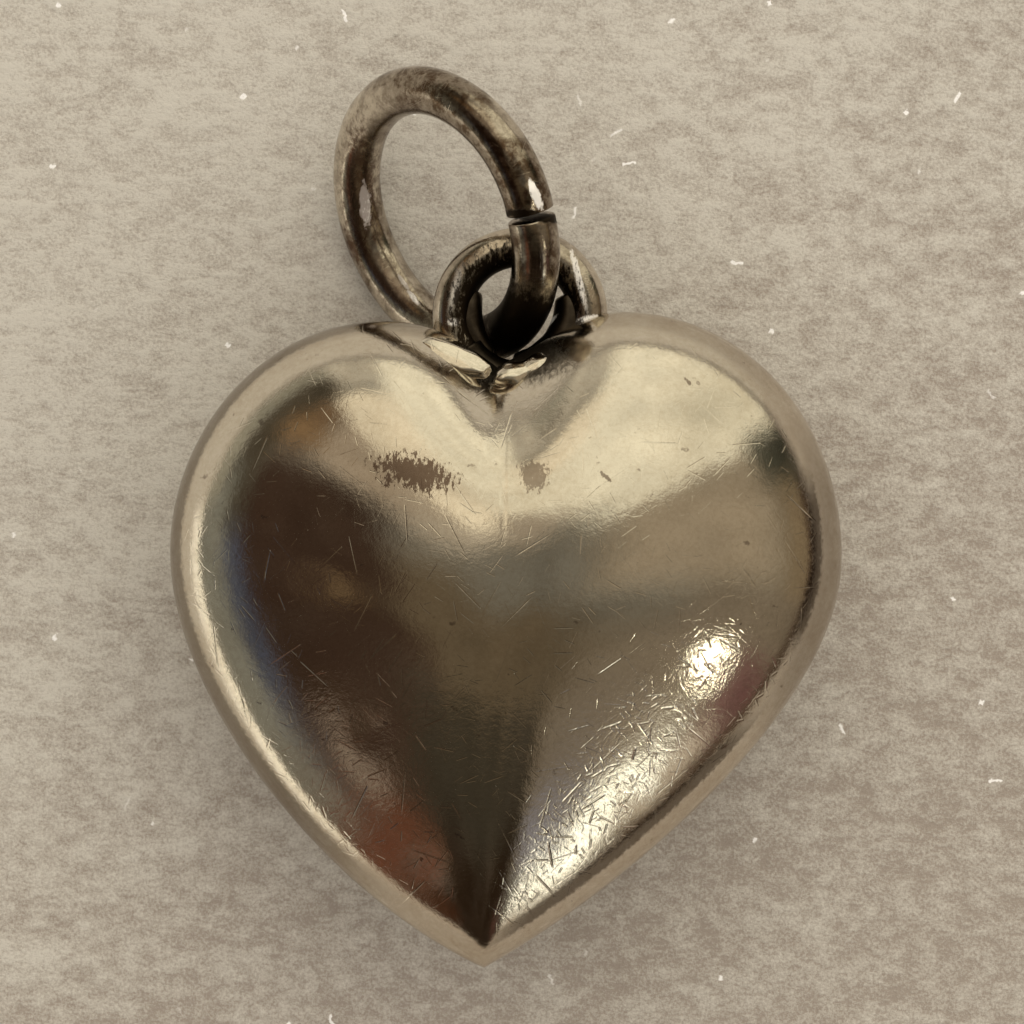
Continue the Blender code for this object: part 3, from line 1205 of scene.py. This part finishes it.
# Each patch lies over those before it
SKY = (
    # the far dark side of the room and its paler stretches
    (250, 75, 9, 60, (84, 70, 50), 20, 7),
    (76, 22, 9, 30, (140, 124, 100), 12, 5),
    (122, 32, 8, 26, (156, 140, 114), 12, 5),
    (8, 24, 24, 66, (137, 120, 94), 12, 8),
    (355, 36, 66, 96, (112, 94, 68), 8, 6),
    (127, 19, 22, 50, (148, 129, 103), 8, 6),
    (132, 15, 50, 73, (100, 77, 52), 8, 5),
    # the bright windows
    (64, 34, 24, 90, (218, 203, 168), 4, 5),
    (106, 14, 14, 62, (212, 193, 157), 4, 4),
    (107, 11, 66, 90, (172, 158, 131), 6, 6),
    (46, 10, 50, 90, (200, 185, 151), 6, 6),
    # the dark left
    (206, 24, 32, 64, (50, 35, 24), 7, 5),
    (176, 27, 25, 64, (50, 35, 24), 8, 5),
    (148, 33, 62, 76, (64, 55, 40), 6, 4),
    (138, 5, 48, 66, (112, 86, 56), 5, 6),
    (200, 5, 36, 43, (92, 72, 48), 4, 3),
    (198, 20, 61, 73, (62, 63, 69), 8, 3),
    (190, 30, 69, 86, (112, 106, 89), 8, 4),
    (143, 26, 77, 92, (128, 119, 97), 4, 2),
    # the dark behind the tip
    (266, 38.5, 38, 55, (50, 43, 31), 1.5, 1.2),
    (266, 30, 34.5, 55, (50, 43, 31), 2, 1.2),
    (262, 19, 31.5, 55, (50, 43, 31), 3, 1.2),
    (269, 31, 47, 110, (34, 23, 13), 4, 7),
    (231, 5, 54, 108, (84, 46, 28), 5, 5),
    (239, 3, 70, 108, (60, 34, 19), 3, 4),
    (224.5, 2, 54, 60, (140, 122, 100), 2, 3),
    (293, 5, 66, 100, (62, 40, 30), 3, 5),
    # the right flank
    (326, 18, 46, 92, (106, 92, 72), 4, 5),
    (308.5, 4, 44, 92, (101, 88, 70), 1.5, 4),
    (307, 3, 52, 68, (112, 106, 103), 2, 3),
    (315, 3, 66, 76, (178, 160, 132), 2, 3),
    (323, 5, 64, 84, (96, 66, 57), 3, 4),
    (347, 46, 80, 92, (62, 46, 32), 5, 2),
    # the long lamp, whose image is the streak
    (313.4, 1.6, 54, 60, (140, 124, 100), 1.5, 2),
    (312.2, 1.6, 59, 65, (300, 288, 248), 1.2, 2),
    (310.4, 2, 62, 69, (340, 328, 288), 1.5, 2),
    (308, 1.9, 66, 73.5, (345, 334, 296), 1.4, 2),
    (305.8, 1.7, 71, 80, (325, 312, 274), 1.4, 3),
    (303.6, 1.5, 79, 100, (262, 248, 216), 1.5, 3),
    # the small lamp
    (323, 3.4, 57, 61, (190, 174, 142), 2, 1.2),
    (323.8, 1.2, 57.8, 59.7, (860, 820, 700), 1.0, 0.8),
    # the dark on the right
    (26, 8, 62, 110, (62, 59, 45), 5, 6),
    (26, 4, 74, 98, (44, 41, 30), 4, 6),
)


@dataclass
class Studio:
    """The cloth floor, the soft light and the camera, in metres."""

    camera_distance: float = 0.16
    frame_width: float = 24.52 * MM
    aim: Vector = field(default_factory=lambda: Vector((-0.09, -4.72, 0)) * MM)
    roll: float = math.radians(1.24)
    lamp_strength: float = 2.5
    lamp_spread: float = math.radians(150)
    lamp_colour: Colour = (1.0, 0.96, 0.91)
    lamp_tilt: Triple = (math.radians(-22), math.radians(16), 0)
    sensor: float = 36.0
    floor_level: float = -3.93 * MM
    floor_radius: float = 3.0
    wall_height: float = 0.25
    wall_lean: float = 0.6
    wall_steps: tuple[float, ...] = (0.25, 0.5, 0.75, 1.0)
    base: Colour = (100, 92, 76)
    unevenness: float = 1.2
    clutter: Colour = (0.12, 0.095, 0.07)
    clutter_from: float = 0.48
    patches: tuple[SkyPatch, ...] = tuple(SkyPatch(*row) for row in SKY)

    def floor(self, cloth: PaleCloth) -> None:
        """Lay the cloth and bend it up at its far edge.

        Args:
            cloth: its finish.
        """
        bm = bmesh.new()
        bmesh.ops.create_circle(bm, cap_ends=True, segments=96, radius=self.floor_radius)
        rim = [edge for edge in bm.edges if edge.is_boundary]
        for share in self.wall_steps:
            reach = self.floor_radius + self.wall_height * share * self.wall_lean
            climb = Vector((0, 0, self.wall_height * share * share))
            rim = raise_ring(bm, rim, lambda vert: Vector((*vert.co.xy, 0)).normalized() * reach + climb)
        bmesh.ops.translate(bm, vec=(0, 0, self.floor_level), verts=bm.verts)
        finished(bm, "cloth_floor", cloth.material("pale_cloth"))

    def surroundings(self) -> None:
        """Fill the world with the soft patches."""
        world = bpy.data.worlds.new("studio")
        bpy.context.scene.world = world
        world.use_nodes = True
        tree = Tree(world.node_tree.nodes, world.node_tree.links)
        place = tree.add("TexCoord", {}, {})
        way = Value(tree, place.outputs["Generated"]).unit()
        zenith = way.part(2).angle()
        flat = (way * FLAT).unit()
        colour: Value | Colour = light(self.base)
        for patch in self.patches:
            turn = math.radians(patch.azimuth)
            aside = flat.dot((math.cos(turn), math.sin(turn), 0.0)).angle()
            mask = aside.step(patch.half_width + patch.side_edge, patch.half_width - patch.side_edge)
            mask = mask * zenith.step(patch.top - patch.level_edge, patch.top + patch.level_edge)
            mask = mask * zenith.step(patch.bottom + patch.level_edge, patch.bottom - patch.level_edge)
            colour = tree.blend(mask, colour, light(patch.colour))
        unevenness = (tree.noise(way, ROOM) - 0.5) * self.unevenness + 1
        blotches = (tree.noise(way + (5.0, 5.0, 5.0), BLOTCHES) - self.clutter_from).top(0.0)
        clutter = tree.blend(blotches, (0.0, 0.0, 0.0), self.clutter)
        tree.feed(world.node_tree.nodes["Background"], {"Color": colour * unevenness + clutter, "Strength": 1.0})

    def lights(self) -> None:
        """Hang the soft overhead light, which the cloth takes and the metal doesn't show."""
        data = bpy.data.lights.new("soft_overhead", "SUN")
        data.energy = self.lamp_strength
        data.angle = self.lamp_spread
        data.color = self.lamp_colour
        lamp = bpy.data.objects.new("soft_overhead", data)
        bpy.context.scene.collection.objects.link(lamp)
        lamp.rotation_euler = self.lamp_tilt
        lamp.visible_glossy = False

    def camera(self) -> None:
        """Place the camera over the pendant, as the photograph was taken."""
        data = bpy.data.cameras.new("camera")
        data.sensor_width = self.sensor
        data.lens = self.sensor * self.camera_distance / self.frame_width
        data.clip_start = 0.01
        camera = bpy.data.objects.new("camera", data)
        bpy.context.scene.collection.objects.link(camera)
        camera.location = self.aim + Vector((0, 0, self.camera_distance))
        camera.rotation_euler = (0, 0, self.roll)
        bpy.context.scene.camera = camera

    def build(self, cloth: PaleCloth) -> None:
        """Set up the floor, the light and the camera.

        Args:
            cloth: the floor's finish.
        """
        self.floor(cloth)
        self.surroundings()
        self.lights()
        self.camera()
        bpy.context.scene.view_settings.view_transform = "Standard"
        log.info("studio: %d patches", len(self.patches))


# This pendant's finishes

CLEAN = (0.83, 0.78, 0.69)
TARNISHED = (0.50, 0.41, 0.30)
HAIRLINES = (
    ScratchLayer(0.9, 0.55, 0.022, 0.75, 0.0030, 3.1),
    ScratchLayer(1.7, 0.28, 0.018, 0.7, 0.0024, 11.7),
    ScratchLayer(3.3, 0.15, 0.016, 0.7, 0.0020, 23.9),
)
SCUFFS = (
    ScratchLayer(1.5, 0.36, 0.034, 0.6, 0.0060, 41.3),
    ScratchLayer(3.0, 0.18, 0.034, 0.7, 0.0044, 67.9),
    ScratchLayer(5.4, 0.10, 0.032, 0.8, 0.0028, 13.7),
)
SCUFFED = (
    Spot((2.85, -10.3, 0), (5.3, 0.85, 9), 55, 0.35),
    Spot((6.2, -8.9, 0), (2, 0.45, 9), 58, 0.5),
    Spot((-5.3, -10.9, 0), (6.2, 0.55, 9), -50, 0.4, 0.55),
    Spot((-7.6, -5.6, 0), (0.5, 2.6, 9), 0, 0.4, 0.5),
)
STAINS = (
    Spot((-2.40, -3.85, 3), (0.86, 0.36, 3), -10.313, 0.16, 0.85),
    Spot((0.40, -3.85, 3), (0.30, 0.32, 3), 17.189, 0.2, 0.6),
    Spot((2.07, -3.83, 3), (0.15, 0.05, 3), -40.107, 0.2, 0.65),
    Spot((4.02, -1.56, 3), (0.11, 0.04, 3), -45.837, 0.2, 0.65),
)
# Painted shade with tarnish in the cleft under the eye
CLEFT_SHADE_AND_TARNISH = (Spot((0, -1.15, 0.6), (1.5, 0.62, 1.7), 0, 0.35, 0.9),)
CREASE = (Spot((-0.32, -3.4, 3), (0.08, 1.7, 3), 1.146, 0.6),)
LEFT_RIM = GrimeBand(Spot((-8, -7, 0), (6, 9, 9)), -1, 1.14, 0.08, 0.62)
TOP_RIM = GrimeBand(Spot((2, 1, 0), (9, 3, 9)), -1, 1.30, 0.10, 0.18)
LOW_RIM = GrimeBand(Spot((3.4, -13, 0), (4.6, 1.9, 9), 42, 0.2), 1.15, 1.42, 0.05, 0.72)
RIGHT_RIM = GrimeBand(Spot((8.2, -6.4, 0), (1.6, 4.2, 9), 0, 0.2), 1.33, 1.58, 0.07, 0.8)
RIGHT_EDGE = GrimeBand(Spot((8.2, -7.4, 0), (2.2, 5.6, 9), 0, 0.4), -1, 1.33, 0.12, 0.38)
RIMS = (LEFT_RIM, TOP_RIM, LOW_RIM, RIGHT_RIM, RIGHT_EDGE)
FRONT_SILVER = WornSilver(
    CLEAN,
    TARNISHED,
    tarnish=0.34,
    roughness=0.09,
    hairlines=HAIRLINES,
    scuffs=SCUFFS,
    scuffed=SCUFFED,
    stains=STAINS,
    hollow_shade_and_tarnish=CLEFT_SHADE_AND_TARNISH,
    grime=RIMS,
    creases=CREASE,
    seam_tarnish=0.5,
    speckle=0.5,
)
BACK_SILVER = WornSilver(
    CLEAN, TARNISHED, 0.4, 0.10, HAIRLINES, hollow_shade_and_tarnish=CLEFT_SHADE_AND_TARNISH, grime=(LEFT_RIM, TOP_RIM), seam_tarnish=0.6
)

WIRE_LINES = (
    ScratchLayer(2.2, 0.20, 0.018, 0.8, 0.0022, 5.3),
    ScratchLayer(3.9, 0.12, 0.015, 0.8, 0.0018, 17.1),
)
# Painted shade with tarnish on the ring: where it passes through the eye, and along the gap by the cut
RING_SHADE_AND_TARNISH = (
    Spot((0.1, -0.15, 0), (1.25, 1.15, 1.9)),
    Spot((0.33, 2.29, 2), (0.80, 0.13, 2), -6, 0.25),
)
# Painted glints on the ring: near-white matte patches that stand in for highlights, on its left side, low on the
# left and by the cut
RING_PAINTED_GLINTS = (
    Spot((-3.82, 2.68, -2.6), (0.13, 0.50, 0.9), 4, 0.15),
    Spot((-2.60, 0.44, -2.5), (0.06, 0.22, 0.6), 40, 0.3, 0.9),
    Spot((-2.86, 0.82, -2.6), (0.05, 0.24, 0.6), 36, 0.3, 0.6),
    Spot((0.32, 2.76, 2.1), (0.10, 0.38, 0.8), 24, 0.2, 0.9),
)
RING_STAINS = (
    Spot((-3.95, 3, -2.4), (0.38, 1.7, 2), -2, 0.5, 0.75),
    Spot((-3.15, 0.85, -2.4), (0.30, 1.1, 2), 33, 0.5, 0.55),
    Spot((-3.25, 4.55, -1.2), (1.15, 0.42, 2.5), 38, 0.5, 0.4),
)
# Painted glints on the eye's feet and legs: near-white matte patches that stand in for highlights
EYE_PAINTED_GLINTS = (
    Spot((-1.58, -0.22, 0.4), (0.16, 0.10, 0.6), 0, 0.3, 0.8),
    Spot((1.60, -0.10, 0.4), (0.34, 0.10, 0.6), 11.459, 0.3, 0.9),
    Spot((1.38, 0.88, 0.4), (0.08, 0.75, 0.6), 15, 0.3, 0.7),
    Spot((-1.56, 0.55, 0.4), (0.10, 0.55, 0.6), -12, 0.5, 0.4),
)
RING_SILVER = WornSilver(
    (0.68, 0.62, 0.53),
    (0.13, 0.09, 0.06),
    tarnish=1.05,
    roughness=0.10,
    hairlines=WIRE_LINES,
    stains=RING_STAINS,
    hollow_shade_and_tarnish=RING_SHADE_AND_TARNISH,
    painted_glints=RING_PAINTED_GLINTS,
    patchy=(0.42, 0.62),
    relief=0.008,
)
# Painted shade with tarnish over the inside of the eye round its hole
EYE_SHADE_AND_TARNISH = (Spot((-0.1, 0, 0), (1.6, 1.6, 9), 0, 0.1),)
EYE_SILVER = replace(RING_SILVER, tarnish=0.6, roughness=0.12, stains=(), hollow_shade_and_tarnish=EYE_SHADE_AND_TARNISH, painted_glints=EYE_PAINTED_GLINTS)
# A painted glint on the right fillet: a near-white matte patch that stands in for a highlight
SOLDER_PAINTED_GLINTS = (Spot((0.74, -0.14, 0.3), (0.05, 0.20, 0.8), -42, 0.3, 0.9),)
SOLDER = WornSilver((0.085, 0.07, 0.055), (0.02, 0.015, 0.011), 0.9, 0.34, WIRE_LINES, painted_glints=SOLDER_PAINTED_GLINTS)
BRIGHT_SOLDER = WornSilver(CLEAN, TARNISHED, 0.2, 0.10, WIRE_LINES)
# The last triple is the way to the painted pool of light
CLOTH = PaleCloth((0.60, 0.568, 0.502), (0.345, 0.298, 0.252), (-0.1, -4.7, 0.0), (-0.94, -0.34, 0.0))


def main() -> None:
    """Build the pendant and its studio."""
    Heart().build(FRONT_SILVER, BACK_SILVER)
    HangingEye().build(EYE_SILVER, SOLDER, BRIGHT_SOLDER)
    JumpRing().build(RING_SILVER)
    Studio().build(CLOTH)


if __name__ == "__main__":
    logging.basicConfig(level=logging.INFO, format="%(name)s: %(message)s")
    main()
